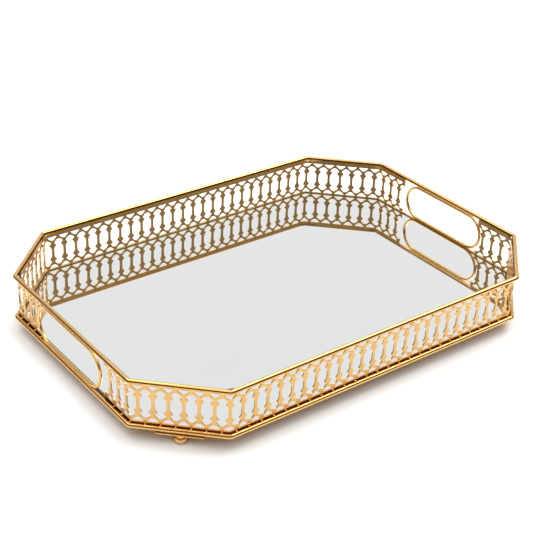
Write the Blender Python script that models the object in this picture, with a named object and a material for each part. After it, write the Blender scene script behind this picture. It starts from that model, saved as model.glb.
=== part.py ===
"""Dresser vanity tray: an eight-sided mirror tray with a pierced gallery, two wire handles and four feet.

The tray lies along X, its handles are at the two X ends, and it stands on Z = 0 with its centre on the Z axis.
Every piece is an object of its own, and every size below is in metres.
"""

import math

import bmesh
import bpy
from mathutils import Matrix, Vector
from mathutils.geometry import delaunay_2d_cdt

MM = 0.001
CLEARANCE = 0.3 * MM            # free space between two pieces that meet

# Plan of the gallery, measured on the middle plane of its sheet
LONG_SIDE = 273.2 * MM
CORNER_SIDE = 68.7 * MM
SHORT_SIDE = 165.5 * MM         # a side with a handle

# Gallery sheet
PITCH = 10.65 * MM              # from one upright bar to the next
SHEET_THICKNESS = 1.0 * MM
OPENING_HEIGHT = 29.5 * MM      # the pierced height between the two plain borders
LOWER_BORDER = 4.8 * MM
UPPER_BORDER = 2.5 * MM
PANEL_END_GAP = 0.6 * MM        # from the fold line to the end of each panel
POST_HALF_WIDTH = 1.5 * MM      # of the bar that each strip has on a fold line

# Pattern of the gallery
BAR_WIDTH = 1.9 * MM
KNOB_WIDTH = 5.8 * MM
KNOB_HEIGHT = 9.2 * MM          # from a border to the widest point of a knob
KNOB_ROOT = 7.4 * MM            # from a border to the notch under a knob
KNOB_ROOT_WIDTH = 3.3 * MM
KNOB_TOP = 11.5 * MM            # from a border to where a knob has thinned to the bar
ARCH_FOOT = 3.5 * MM            # from a border to the pointed end of a tall opening
ARCH_RISE = 4.8 * MM            # height of the small opening under each bar
ARCH_SPAN = 7.8 * MM            # width of that small opening
END_BARS = 3                    # bars on each short panel beside a handle
END_PRONG = 7.3 * MM            # how far the cut sheet runs past the last of those bars

# Wires
RIM_WIRE = 3.6 * MM
RAIL_WIRE = 3.6 * MM
HANDLE_WIRE = 2.6 * MM
WIRE_BEND = 4.0 * MM            # bend radius of the rim and the rail on their middle line
HANDLE_LENGTH = 94.0 * MM
RIM_OVERHANG = 1.9 * MM         # from the gallery plane out to the rim wire's middle

# Floor of the tray, from the glass down
GLASS_THICKNESS = 2.0 * MM
GLASS_SIDE_GAP = 0.5 * MM       # around the edge of the glass
GLASS_ARRIS = 0.4 * MM
BOARD_THICKNESS = 1.4 * MM
PAN_THICKNESS = 0.8 * MM
PAN_UNDER_RAIL = 0.9 * MM       # how far the pan's edge stays inside the rail's middle
FELT_THICKNESS = 1.0 * MM
FELT_INSET = 20.0 * MM          # from the gallery plane in to the edge of the felt

# Foot plates and their rivets
PLATE_THICKNESS = 1.0 * MM
PLATE_LENGTH = 34.0 * MM
PLATE_DEPTH = 16.0 * MM
PLATE_CORNER = 5.0 * MM
PLATE_PAST_RAIL = 0.8 * MM      # how far the plate's edge stands outside the rail's middle
RIVET_SPACING = 22.0 * MM
RIVET_FROM_EDGE = 9.5 * MM
RIVET_SHANK = 2.4 * MM
RIVET_HEAD = 5.0 * MM
RIVET_HEAD_HEIGHT = 1.1 * MM

# Feet
FOOT_INSET = 4.6 * MM           # from the rail's middle in to the foot's axis
BALL_RADIUS = 5.2 * MM
BALL_ABOVE = 2.5 * MM           # from the ball's middle up to its flat top
BALL_BELOW = 1.3 * MM           # from the ball's middle down to its flat underside
COLLAR_WIDTH = 7.4 * MM
COLLAR_HEIGHT = 2.3 * MM
PAD_WIDTH = 6.8 * MM
PAD_THICKNESS = 1.2 * MM
PAD_PROUD = 0.7 * MM            # how far the pad stands below the ball
SCREW_SHANK = 2.4 * MM
SCREW_HEAD = 4.6 * MM
SCREW_HEAD_HEIGHT = 1.0 * MM
SCREW_END_COVER = 0.2 * MM      # plate left above the end of the screw

# Facets
WIRE_SIDES = 10
BEND_STEPS = 3
HANDLE_STEPS = 8
ROUND_SIDES = 20
HOLE_SIDES = 12
BALL_STEPS = 3

# Places that follow from the sizes above
CORNER_CUT = CORNER_SIDE / math.sqrt(2)
HALF_LENGTH = LONG_SIDE / 2 + CORNER_CUT
HALF_WIDTH = SHORT_SIDE / 2 + CORNER_CUT

BALL_BOTTOM = PAD_PROUD
BALL_MIDDLE = BALL_BOTTOM + BALL_BELOW
BALL_TOP = BALL_MIDDLE + BALL_ABOVE
COLLAR_BOTTOM = BALL_TOP + CLEARANCE
PLATE_BOTTOM = COLLAR_BOTTOM + COLLAR_HEIGHT + CLEARANCE
PAN_BOTTOM = PLATE_BOTTOM + PLATE_THICKNESS + CLEARANCE
SHEET_BOTTOM = PAN_BOTTOM + PAN_THICKNESS + CLEARANCE
RAIL_MIDDLE = SHEET_BOTTOM + RAIL_WIRE / 2
BOARD_BOTTOM = SHEET_BOTTOM
GLASS_BOTTOM = BOARD_BOTTOM + BOARD_THICKNESS + CLEARANCE
SHEET_HEIGHT = LOWER_BORDER + OPENING_HEIGHT + UPPER_BORDER
SHEET_TOP = SHEET_BOTTOM + SHEET_HEIGHT

# The rim lies against the outer top edge of the sheet
RIM_OUT = RIM_OVERHANG
RIM_REACH = RIM_WIRE / 2 + CLEARANCE
RIM_MIDDLE = SHEET_TOP + math.sqrt(RIM_REACH ** 2 - (RIM_OVERHANG - SHEET_THICKNESS / 2) ** 2)

RAIL_OUT = SHEET_THICKNESS / 2 + CLEARANCE + RAIL_WIRE / 2
GLASS_OUT = -(SHEET_THICKNESS / 2 + GLASS_SIDE_GAP)
PAN_OUT = RAIL_OUT - PAN_UNDER_RAIL
FOOT_OUT = RAIL_OUT - FOOT_INSET
PLATE_OUT = RAIL_OUT + PLATE_PAST_RAIL

HANDLE_OUT = SHEET_THICKNESS / 2 + CLEARANCE + HANDLE_WIRE / 2
HANDLE_BOTTOM = RAIL_MIDDLE + RAIL_WIRE / 2 + CLEARANCE
HANDLE_TOP = RIM_MIDDLE - RIM_WIRE / 2 - CLEARANCE


def clear_scene():
    """Remove whatever the opened file holds."""
    for thing in list(bpy.data.objects):
        bpy.data.objects.remove(thing, do_unlink=True)


def material(name, colour, roughness, metallic):
    """A Principled material with one colour."""
    made = bpy.data.materials.new(name)
    made.use_nodes = True
    shader = made.node_tree.nodes["Principled BSDF"]
    shader.inputs["Base Color"].default_value = (*colour, 1.0)
    shader.inputs["Roughness"].default_value = roughness
    shader.inputs["Metallic"].default_value = metallic
    made.diffuse_color = (*colour, 1.0)
    return made


def gold(name):
    """Polished gold plating."""
    return material(name, (0.86, 0.58, 0.24), 0.16, 1.0)


def add_object(name, bm, finish, parent=None, smooth_angle=None):
    """Put a bmesh into the scene as an object with its own material."""
    bmesh.ops.remove_doubles(bm, verts=bm.verts, dist=0.000001)
    bmesh.ops.recalc_face_normals(bm, faces=bm.faces)
    mesh = bpy.data.meshes.new(name)
    bm.to_mesh(mesh)
    bm.free()
    mesh.materials.append(finish)
    if smooth_angle is not None:
        mesh.shade_smooth()
        mesh.set_sharp_from_angle(angle=math.radians(smooth_angle))
    made = bpy.data.objects.new(name, mesh)
    bpy.context.scene.collection.objects.link(made)
    made.parent = parent
    return made


def tray_outline(out):
    """Corners of the eight-sided plan, moved outwards by `out` from the gallery plane, anticlockwise."""
    length = HALF_LENGTH + out
    width = HALF_WIDTH + out
    cut = CORNER_CUT + out * (2 - math.sqrt(2))
    return [
        Vector((length, -width + cut)),
        Vector((length, width - cut)),
        Vector((length - cut, width)),
        Vector((-length + cut, width)),
        Vector((-length, width - cut)),
        Vector((-length, -width + cut)),
        Vector((-length + cut, -width)),
        Vector((length - cut, -width)),
    ]


def circle(centre, radius, sides):
    """Points of a circle, with flats that touch it from outside."""
    reach = radius / math.cos(math.pi / sides)
    turns = [2 * math.pi * (i + 0.5) / sides for i in range(sides)]
    return [Vector((centre[0] + reach * math.cos(a), centre[1] + reach * math.sin(a))) for a in turns]


def inside(point, polygon):
    """True where a flat point lies inside a polygon."""
    found = False
    for here, there in zip(polygon, polygon[1:] + polygon[:1]):
        if (here.y > point.y) != (there.y > point.y):
            crossing = here.x + (point.y - here.y) * (there.x - here.x) / (there.y - here.y)
            if point.x < crossing:
                found = not found
    return found


def sheet_mesh(outline, holes, thickness):
    """A flat sheet in XY with holes, from Z = 0 up to its thickness. A hole may run out past the outline."""
    points = []
    edges = []
    for loop in [outline] + holes:
        first = len(points)
        points.extend(Vector((p.x / MM, p.y / MM)) for p in loop)
        edges.extend((first + i, first + (i + 1) % len(loop)) for i in range(len(loop)))
    flat, _, faces, _, _, _ = delaunay_2d_cdt(points, edges, [], 0, 1e-5)
    spans = [(min(p.x for p in hole), max(p.x for p in hole), hole) for hole in holes]
    bm = bmesh.new()
    low = [bm.verts.new((p.x * MM, p.y * MM, 0.0)) for p in flat]
    high = [bm.verts.new((p.x * MM, p.y * MM, thickness)) for p in flat]
    sides = {}
    for face in faces:
        middle = sum((flat[i] for i in face), Vector((0.0, 0.0))) * (MM / len(face))
        if not inside(middle, outline):
            continue
        if any(left < middle.x < right and inside(middle, hole) for left, right, hole in spans):
            continue
        bm.faces.new([high[i] for i in face])
        bm.faces.new([low[i] for i in reversed(face)])
        for a, b in zip(face, face[1:] + face[:1]):
            sides[(a, b)] = sides.get((a, b), 0) + 1
    for a, b in sides:
        if (b, a) not in sides:
            bm.faces.new([low[a], low[b], high[b], high[a]])
    bmesh.ops.delete(bm, geom=[v for v in bm.verts if not v.link_faces], context="VERTS")
    drop_offcuts(bm)
    return bm


def drop_offcuts(bm):
    """Keep the largest piece, without the bits that the holes at a panel's end cut loose."""
    pieces = []
    waiting = set(bm.faces)
    while waiting:
        piece = [waiting.pop()]
        for face in piece:
            joined = [other for edge in face.edges if len(edge.link_faces) == 2 for other in edge.link_faces]
            fresh = [other for other in joined if other in waiting]
            waiting.difference_update(fresh)
            piece.extend(fresh)
        pieces.append(piece)
    pieces.sort(key=len)
    loose = [face for piece in pieces[:-1] for face in piece]
    bmesh.ops.delete(bm, geom=loose, context="FACES")


def tall_opening(middle, limits):
    """The pointed opening between two bars, pinched by their knobs."""
    half = PITCH / 2
    quarter = [
        (0.0, ARCH_FOOT),
        (half - KNOB_ROOT_WIDTH / 2, KNOB_ROOT),
        (half - KNOB_WIDTH / 2, KNOB_HEIGHT),
        (half - BAR_WIDTH / 2, KNOB_TOP),
    ]
    right = quarter + [(x, OPENING_HEIGHT - y) for x, y in reversed(quarter)]
    left = [(-x, y) for x, y in reversed(right[1:-1])]
    return [Vector((clamp(middle + x, limits), LOWER_BORDER + y)) for x, y in right + left]


def small_openings(middle, limits):
    """The two low arches at one bar, at the lower and at the upper border."""
    left = clamp(middle - ARCH_SPAN / 2, limits)
    right = clamp(middle + ARCH_SPAN / 2, limits)
    top = LOWER_BORDER + OPENING_HEIGHT
    low = [(left, LOWER_BORDER), (right, LOWER_BORDER), (clamp(middle, limits), LOWER_BORDER + ARCH_RISE)]
    high = [(left, top), (clamp(middle, limits), top - ARCH_RISE), (right, top)]
    return [[Vector(p) for p in low], [Vector(p) for p in high]]


def clamp(x, limits):
    """Keep a place along a panel between two limits."""
    return min(max(x, limits[0]), limits[1])


def gallery_panel(name, start, end, corner, turn):
    """One flat length of a pierced strip.

    The strip has a bar at every whole pitch from its post, which stands on a fold line at 0. The panel runs
    from `start` to `end` along the strip. Its local X = 0 is at `start`, `corner` in the plan.
    """
    length = end - start
    left_limit = POST_HALF_WIDTH if start == 0 else -PITCH
    right_limit = length - POST_HALF_WIDTH if end == 0 else length + PITCH
    limits = (left_limit, right_limit)
    left = PANEL_END_GAP
    right = length - PANEL_END_GAP
    outline = [
        Vector((left, 0.0)),
        Vector((right, 0.0)),
        Vector((right, SHEET_HEIGHT)),
        Vector((left, SHEET_HEIGHT)),
    ]
    holes = []
    for k in range(math.floor(start / PITCH) - 1, math.ceil(end / PITCH) + 1):
        bar = k * PITCH - start
        gap = bar + PITCH / 2
        if left - ARCH_SPAN / 2 < bar < right + ARCH_SPAN / 2:
            holes.extend(small_openings(bar, limits))
        if left - PITCH / 2 < gap < right + PITCH / 2:
            holes.append(tall_opening(gap, limits))
    bm = sheet_mesh(outline, holes, SHEET_THICKNESS)
    bmesh.ops.translate(bm, verts=bm.verts, vec=(0.0, 0.0, -SHEET_THICKNESS / 2))
    bmesh.ops.rotate(bm, verts=bm.verts, matrix=Matrix.Rotation(math.pi / 2, 3, "X"))
    panel = add_object(name, bm, gold(name + "_gold"))
    panel.location = (corner.x, corner.y, SHEET_BOTTOM)
    panel.rotation_euler = (0.0, 0.0, turn)


def build_gallery():
    """Two equal strips, one turned half round from the other, each in five flat panels.

    A strip's post stands on the fold at one end of its long side. Its long arm covers that side, the next
    corner and the start of a handle side. Its short arm covers a corner and the start of the other handle side.
    """
    corners = tray_outline(0.0)
    long_arm = LONG_SIDE + CORNER_SIDE
    long_arm_end = (math.ceil(long_arm / PITCH) + END_BARS - 1) * PITCH + END_PRONG
    short_arm_end = (math.ceil(CORNER_SIDE / PITCH) + END_BARS - 1) * PITCH + END_PRONG
    strips = (
        (0, ("end_left_front", "corner_front_left", "front", "corner_front_right", "end_right_front")),
        (4, ("end_right_rear", "corner_rear_right", "rear", "corner_rear_left", "end_left_rear")),
    )
    for turned, names in strips:
        panels = (
            (4, -CORNER_SIDE - SHORT_SIDE, -short_arm_end, -CORNER_SIDE),
            (5, -CORNER_SIDE, -CORNER_SIDE, 0.0),
            (6, 0.0, 0.0, LONG_SIDE),
            (7, LONG_SIDE, LONG_SIDE, long_arm),
            (8, long_arm, long_arm, long_arm_end),
        )
        for name, (side, side_start, start, end) in zip(names, panels):
            corner = corners[(side + turned) % 8]
            run = (corners[(side + turned + 1) % 8] - corner).normalized()
            spot = corner + run * (start - side_start)
            gallery_panel("gallery_" + name, start, end, spot, math.atan2(run.y, run.x))


def rounded(corners, radius, steps):
    """A closed flat outline with an arc at each corner."""
    points = []
    for before, corner, after in zip(corners[-1:] + corners[:-1], corners, corners[1:] + corners[:1]):
        into = (corner - before).normalized()
        out = (after - corner).normalized()
        turn = into.angle(out)
        reach = radius * math.tan(turn / 2)
        start = corner - into * reach
        centre = start + Vector((-into.y, into.x)) * radius
        first = math.atan2(start.y - centre.y, start.x - centre.x)
        for i in range(steps + 1):
            a = first + turn * i / steps
            points.append(Vector((centre.x + radius * math.cos(a), centre.y + radius * math.sin(a))))
    return points


def wire_ring(path, normal, wire, sides):
    """A round wire bent into a closed flat loop."""
    bm = bmesh.new()
    rings = []
    for before, here, after in zip(path[-1:] + path[:-1], path, path[1:] + path[:1]):
        into = (here - before).normalized()
        out = (after - here).normalized()
        along = (into + out).normalized()
        side = along.cross(normal) / math.cos(into.angle(out) / 2)
        ring = []
        for i in range(sides):
            a = 2 * math.pi * (i + 0.5) / sides
            spot = here + side * (wire / 2 * math.cos(a)) + normal * (wire / 2 * math.sin(a))
            ring.append(bm.verts.new(spot))
        rings.append(ring)
    for ring, following in zip(rings, rings[1:] + rings[:1]):
        for i in range(sides):
            j = (i + 1) % sides
            bm.faces.new([ring[i], following[i], following[j], ring[j]])
    return bm


def build_hoop(name, out, height, wire):
    """The rim or the rail: a wire that follows the whole plan."""
    plan = rounded(tray_outline(out), WIRE_BEND, BEND_STEPS)
    path = [Vector((p.x, p.y, 0.0)) for p in plan]
    bm = wire_ring(path, Vector((0.0, 0.0, 1.0)), wire, WIRE_SIDES)
    hoop = add_object(name, bm, gold(name + "_gold"), smooth_angle=50)
    hoop.location = (0.0, 0.0, height)


def build_handle(name, side):
    """A stadium-shaped wire loop that stands on the rail, under the rim, at one end of the tray."""
    radius = (HANDLE_TOP - HANDLE_BOTTOM - HANDLE_WIRE) / 2
    straight = (HANDLE_LENGTH - HANDLE_WIRE) / 2 - radius
    path = []
    for sign, first in ((1, -math.pi / 2), (-1, math.pi / 2)):
        for i in range(HANDLE_STEPS + 1):
            a = first + math.pi * i / HANDLE_STEPS
            path.append(Vector((0.0, sign * straight + radius * math.cos(a), radius * math.sin(a))))
    bm = wire_ring(path, Vector((1.0, 0.0, 0.0)), HANDLE_WIRE, WIRE_SIDES)
    handle = add_object(name, bm, gold(name + "_gold"), smooth_angle=50)
    handle.location = (side * (HALF_LENGTH + HANDLE_OUT), 0.0, (HANDLE_TOP + HANDLE_BOTTOM) / 2)


def foot_frames():
    """For each cut corner: its name, the middle of its gallery line, and the turn that points Y outwards."""
    corners = tray_outline(0.0)
    for start, name in ((1, "rear_right"), (3, "rear_left"), (5, "front_left"), (7, "front_right")):
        run = corners[(start + 1) % 8] - corners[start]
        middle = (corners[start] + corners[(start + 1) % 8]) / 2
        yield name, middle, math.atan2(-run.x, run.y) - math.pi / 2


def rivet_spots(frame_middle, turn):
    """Plan places of the two rivets at one corner."""
    spin = Matrix.Rotation(turn, 2)
    inwards = PLATE_OUT - RIVET_FROM_EDGE
    return [frame_middle + spin @ Vector((u, inwards)) for u in (-RIVET_SPACING / 2, RIVET_SPACING / 2)]


def all_rivet_spots():
    """Plan places of every rivet."""
    return [spot for _, middle, turn in foot_frames() for spot in rivet_spots(middle, turn)]


def build_floor():
    """Mirror glass, its backing board, the metal pan and the felt."""
    glass = bmesh.new()
    size = tray_outline(GLASS_OUT)
    face = tray_outline(GLASS_OUT - GLASS_ARRIS)
    levels = [
        (size, 0.0),
        (size, GLASS_THICKNESS - GLASS_ARRIS),
        (face, GLASS_THICKNESS),
    ]
    loops = [[glass.verts.new((p.x, p.y, z)) for p in plan] for plan, z in levels]
    for low, high in zip(loops, loops[1:]):
        for i in range(8):
            j = (i + 1) % 8
            glass.faces.new([low[i], low[j], high[j], high[i]])
    glass.faces.new(loops[-1])
    glass.faces.new(list(reversed(loops[0])))
    mirror = add_object("mirror_glass", glass, material("mirror_glass_silver", (0.86, 0.88, 0.88), 0.03, 1.0))
    mirror.location = (0.0, 0.0, GLASS_BOTTOM)

    spots = all_rivet_spots()
    head_room = RIVET_HEAD / 2 + CLEARANCE
    holes = [circle(spot, head_room, HOLE_SIDES) for spot in spots]
    bm = sheet_mesh(tray_outline(GLASS_OUT), holes, BOARD_THICKNESS)
    board = add_object("backing_board", bm, material("backing_board_fibre", (0.30, 0.19, 0.11), 0.8, 0.0))
    board.location = (0.0, 0.0, BOARD_BOTTOM)

    holes = [circle(spot, RIVET_SHANK / 2 + CLEARANCE, HOLE_SIDES) for spot in spots]
    bm = sheet_mesh(tray_outline(PAN_OUT), holes, PAN_THICKNESS)
    pan = add_object("base_pan", bm, gold("base_pan_gold"))
    pan.location = (0.0, 0.0, PAN_BOTTOM)

    bm = sheet_mesh(tray_outline(-FELT_INSET), [], FELT_THICKNESS)
    felt = add_object("felt_underside", bm, material("felt_underside_felt", (0.03, 0.03, 0.035), 0.95, 0.0))
    felt.location = (0.0, 0.0, PAN_BOTTOM - CLEARANCE - FELT_THICKNESS)


def turned_solid(profile, sides):
    """A solid turned about Z. The profile runs from the axis at the bottom to the axis at the top."""
    bm = bmesh.new()
    bottom = bm.verts.new((0.0, 0.0, profile[0][1]))
    top = bm.verts.new((0.0, 0.0, profile[-1][1]))
    rings = [turned_ring(bm, r, z, sides) for r, z in profile[1:-1]]
    for i in range(sides):
        j = (i + 1) % sides
        bm.faces.new([bottom, rings[0][j], rings[0][i]])
        bm.faces.new([top, rings[-1][i], rings[-1][j]])
    join_rings(bm, rings)
    return bm


def turned_sleeve(profile, sides):
    """A turned piece with a hole through it. The profile is a closed outline away from the axis."""
    bm = bmesh.new()
    rings = [turned_ring(bm, r, z, sides) for r, z in profile]
    join_rings(bm, rings + rings[:1])
    return bm


def turned_ring(bm, radius, z, sides):
    """One ring of points about Z."""
    turns = [2 * math.pi * i / sides for i in range(sides)]
    return [bm.verts.new((radius * math.cos(a), radius * math.sin(a), z)) for a in turns]


def join_rings(bm, rings):
    """Walls between rings that follow each other."""
    for ring, following in zip(rings, rings[1:]):
        sides = len(ring)
        for i in range(sides):
            j = (i + 1) % sides
            bm.faces.new([ring[i], ring[j], following[j], following[i]])


def ball_profile():
    """Outline of a foot's ball: flat top and bottom, a well for the pad, one for the screw head, and a bore."""
    low = -math.asin(BALL_BELOW / BALL_RADIUS)
    high = math.asin(BALL_ABOVE / BALL_RADIUS)
    outer = []
    for i in range(2 * BALL_STEPS + 1):
        a = low + (high - low) * i / (2 * BALL_STEPS)
        outer.append((BALL_RADIUS * math.cos(a), BALL_MIDDLE + BALL_RADIUS * math.sin(a)))
    bore = SCREW_SHANK / 2 + CLEARANCE
    head_well = SCREW_HEAD / 2 + CLEARANCE
    pad_well = PAD_WIDTH / 2 + CLEARANCE
    pad_well_top = PAD_THICKNESS + CLEARANCE
    head_well_top = pad_well_top + CLEARANCE + SCREW_HEAD_HEIGHT
    inner = [
        (bore, BALL_TOP),
        (bore, head_well_top),
        (head_well, head_well_top),
        (head_well, pad_well_top),
        (pad_well, pad_well_top),
        (pad_well, BALL_BOTTOM),
    ]
    return outer + inner


def build_foot(name, middle, turn):
    """Everything at one cut corner: plate, two rivets, collar, ball, screw and pad."""
    corner = bpy.data.objects.new("corner_" + name, None)
    bpy.context.scene.collection.objects.link(corner)
    corner.location = (middle.x, middle.y, 0.0)
    corner.rotation_euler = (0.0, 0.0, turn)

    half = PLATE_LENGTH / 2
    inner = PLATE_OUT - PLATE_DEPTH
    outline = [
        Vector((-half, PLATE_OUT)),
        Vector((-half, inner + PLATE_CORNER)),
        Vector((-half + PLATE_CORNER, inner)),
        Vector((half - PLATE_CORNER, inner)),
        Vector((half, inner + PLATE_CORNER)),
        Vector((half, PLATE_OUT)),
    ]
    rivet_y = PLATE_OUT - RIVET_FROM_EDGE
    holes = [circle((0.0, FOOT_OUT), SCREW_SHANK / 2 + CLEARANCE, HOLE_SIDES)]
    for x in (-RIVET_SPACING / 2, RIVET_SPACING / 2):
        holes.append(circle((x, rivet_y), RIVET_SHANK / 2 + CLEARANCE, HOLE_SIDES))
    bm = sheet_mesh(outline, holes, PLATE_THICKNESS)
    plate = add_object("foot_plate_" + name, bm, gold("foot_plate_gold_" + name), parent=corner)
    plate.location = (0.0, 0.0, PLATE_BOTTOM)

    head = RIVET_HEAD / 2
    shank = RIVET_SHANK / 2
    head_top = PLATE_BOTTOM - CLEARANCE
    tail_bottom = PAN_BOTTOM + PAN_THICKNESS + CLEARANCE
    tail_top = tail_bottom + RIVET_HEAD_HEIGHT
    rivet = [
        (0.0, head_top - RIVET_HEAD_HEIGHT),
        (head * 0.62, head_top - RIVET_HEAD_HEIGHT * 0.8),
        (head, head_top),
        (shank, head_top),
        (shank, tail_bottom),
        (head, tail_bottom),
        (head * 0.62, tail_top - RIVET_HEAD_HEIGHT * 0.2),
        (0.0, tail_top),
    ]
    for x, side in ((-RIVET_SPACING / 2, "left"), (RIVET_SPACING / 2, "right")):
        rivet_name = "rivet_" + name + "_" + side
        bm = turned_solid(rivet, HOLE_SIDES)
        made = add_object(rivet_name, bm, gold("rivet_gold_" + name + "_" + side), parent=corner, smooth_angle=50)
        made.location = (x, rivet_y, 0.0)

    bore = SCREW_SHANK / 2 + CLEARANCE
    wide = COLLAR_WIDTH / 2
    top = COLLAR_BOTTOM + COLLAR_HEIGHT
    collar = [(wide, COLLAR_BOTTOM), (wide, top), (bore, top), (bore, COLLAR_BOTTOM)]
    bm = turned_sleeve(collar, ROUND_SIDES)
    made = add_object("foot_collar_" + name, bm, gold("foot_collar_gold_" + name), parent=corner, smooth_angle=50)
    made.location = (0.0, FOOT_OUT, 0.0)

    bm = turned_sleeve(ball_profile(), ROUND_SIDES)
    made = add_object("foot_ball_" + name, bm, gold("foot_ball_gold_" + name), parent=corner, smooth_angle=40)
    made.location = (0.0, FOOT_OUT, 0.0)

    head = SCREW_HEAD / 2
    shank = SCREW_SHANK / 2
    head_bottom = PAD_THICKNESS + CLEARANCE
    head_top = head_bottom + SCREW_HEAD_HEIGHT
    end = PLATE_BOTTOM + PLATE_THICKNESS - SCREW_END_COVER
    screw = [(0.0, head_bottom), (head, head_bottom), (head, head_top), (shank, head_top), (shank, end), (0.0, end)]
    bm = turned_solid(screw, HOLE_SIDES)
    steel = material("foot_screw_steel_" + name, (0.55, 0.55, 0.56), 0.35, 1.0)
    made = add_object("foot_screw_" + name, bm, steel, parent=corner, smooth_angle=50)
    made.location = (0.0, FOOT_OUT, 0.0)

    wide = PAD_WIDTH / 2
    pad = [(0.0, 0.0), (wide, 0.0), (wide, PAD_THICKNESS), (0.0, PAD_THICKNESS)]
    bm = turned_solid(pad, ROUND_SIDES)
    rubber = material("foot_pad_rubber_" + name, (0.05, 0.05, 0.05), 0.8, 0.0)
    made = add_object("foot_pad_" + name, bm, rubber, parent=corner, smooth_angle=50)
    made.location = (0.0, FOOT_OUT, 0.0)


def main():
    clear_scene()
    build_gallery()
    build_hoop("top_rim", RIM_OUT, RIM_MIDDLE, RIM_WIRE)
    build_hoop("base_rail", RAIL_OUT, RAIL_MIDDLE, RAIL_WIRE)
    build_handle("handle_left", -1)
    build_handle("handle_right", 1)
    build_floor()
    for name, middle, turn in foot_frames():
        build_foot(name, middle, turn)


main()
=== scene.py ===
"""Fine surfaces, finishes and studio for an eight-sided mirror tray with a pierced gallery.

Laid out as an add-on: sizes and colours are properties, and each group of pieces has an operator of its own.
"""

import math

import bmesh
import bpy
from bpy.props import FloatProperty, FloatVectorProperty, IntProperty, PointerProperty
from mathutils import Matrix, Vector
from mathutils.geometry import delaunay_2d_cdt


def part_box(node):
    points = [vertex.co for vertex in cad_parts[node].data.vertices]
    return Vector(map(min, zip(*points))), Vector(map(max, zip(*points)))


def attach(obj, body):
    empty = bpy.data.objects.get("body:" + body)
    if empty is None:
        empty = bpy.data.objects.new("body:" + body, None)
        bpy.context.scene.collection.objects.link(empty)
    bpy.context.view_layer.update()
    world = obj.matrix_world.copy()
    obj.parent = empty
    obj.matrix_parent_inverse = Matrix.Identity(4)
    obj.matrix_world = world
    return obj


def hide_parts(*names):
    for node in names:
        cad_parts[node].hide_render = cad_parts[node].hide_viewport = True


bl_info = {
    "name": "Vanity tray finish",
    "version": (1, 0, 0),
    "blender": (4, 5, 0),
    "location": "View3D > Sidebar > Tray",
    "description": "Builds the fine gallery, wires, mirror, feet, finishes and studio of a vanity tray",
    "category": "Add Mesh",
}

MM = 0.001
FLAT = math.cos(math.pi / 10)   # half width across the flats of a ten-sided wire, over its radius
CLEARANCE = 0.3 * MM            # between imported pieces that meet
WELD = 0.01 * MM                # points closer than this are one point
SMOOTH_ANGLE = 35               # degrees; a sharper edge stays sharp
GOLDEN_TURN = 2.399             # radians from one solder bead to the next, so that no two look alike
GOLDEN_SHARE = 0.618
SENSOR_WIDTH = 36.0             # millimetres
BODY = "root"

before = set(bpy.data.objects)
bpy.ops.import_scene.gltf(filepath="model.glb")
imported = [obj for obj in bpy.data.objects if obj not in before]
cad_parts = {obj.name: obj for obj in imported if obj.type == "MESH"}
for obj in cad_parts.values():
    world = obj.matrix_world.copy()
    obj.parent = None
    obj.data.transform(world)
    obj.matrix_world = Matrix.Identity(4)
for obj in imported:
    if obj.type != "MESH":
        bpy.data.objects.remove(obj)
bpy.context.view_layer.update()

CORNERS = ("front_left", "front_right", "rear_right", "rear_left")


def middle(node):
    """Centre of a node's box."""
    low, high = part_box(node)
    return (low + high) / 2


# Plan of the gallery, on the middle plane of its sheet
FOLD_GAP = 0.6 * MM             # the flat panels stop this far short of a fold
PANEL_LOW, PANEL_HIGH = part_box("gallery_front")
SHEET = PANEL_HIGH.y - PANEL_LOW.y
PLANE_X = middle("gallery_end_right_front").x
PLANE_Y = middle("gallery_rear").y
HALF_LONG = PANEL_HIGH.x + FOLD_GAP
CORNER_CUT = PLANE_X - HALF_LONG
HALF_SHORT = PLANE_Y - CORNER_CUT
LONG_SIDE = 2 * HALF_LONG
CORNER_SIDE = CORNER_CUT * math.sqrt(2)
SHEET_LOW = PANEL_LOW.z
SHEET_HIGH = PANEL_HIGH.z
SHORT_ARM_END = CORNER_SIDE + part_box("gallery_end_left_front")[1].y + HALF_SHORT + FOLD_GAP
LONG_ARM_END = LONG_SIDE + CORNER_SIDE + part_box("gallery_end_right_front")[1].y + HALF_SHORT + FOLD_GAP


# ---- sizes and colours

def length(name, description, default):
    """A length that can be set."""
    return FloatProperty(name=name, description=description, default=default, unit="LENGTH")


def count(name, description, default, least):
    """A whole number that can be set."""
    return IntProperty(name=name, description=description, default=default, min=least)


def tint(name, description, default):
    """A colour that can be set."""
    return FloatVectorProperty(name=name, description=description, default=default, subtype="COLOR", size=3,
                               min=0.0, max=1.0)


def angle(name, description, degrees):
    """An angle that can be set."""
    return FloatProperty(name=name, description=description, default=math.radians(degrees), subtype="ANGLE")


class GallerySizes(bpy.types.PropertyGroup):
    """Sizes of the pierced strips."""

    pitch: length("Pitch", "From one bar to the next", 10.65 * MM)
    lower_border: length("Lower border", "Plain height below the openings", 4.8 * MM)
    upper_border: length("Upper border", "Plain height above the openings", 2.5 * MM)
    bar: length("Bar", "Width of a bar between its knobs", 2.3 * MM)
    knob: length("Knob", "Width across a knob", 5.8 * MM)
    edge: length("Edge", "Width of the softened edge", 0.10 * MM)
    fold: length("Fold", "Bend radius at a fold", 1.6 * MM)
    overlap: length("Overlap", "How far the sheet runs up behind the rim wire", 1.5 * MM)


class WireSizes(bpy.types.PropertyGroup):
    """Sizes of the rim, the rail, the handles and the solder."""

    bend: length("Bend", "Bend radius of the rim and the rail", 4.0 * MM)
    sides: count("Sides", "Facets round a wire", 28, 8)
    arc: count("Arc steps", "Steps in each half round of a handle", 36, 8)
    bead: length("Bead", "Radius of a solder bead", 0.95 * MM)
    seam: length("Seam", "Radius of a solder seam", 0.55 * MM)


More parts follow.
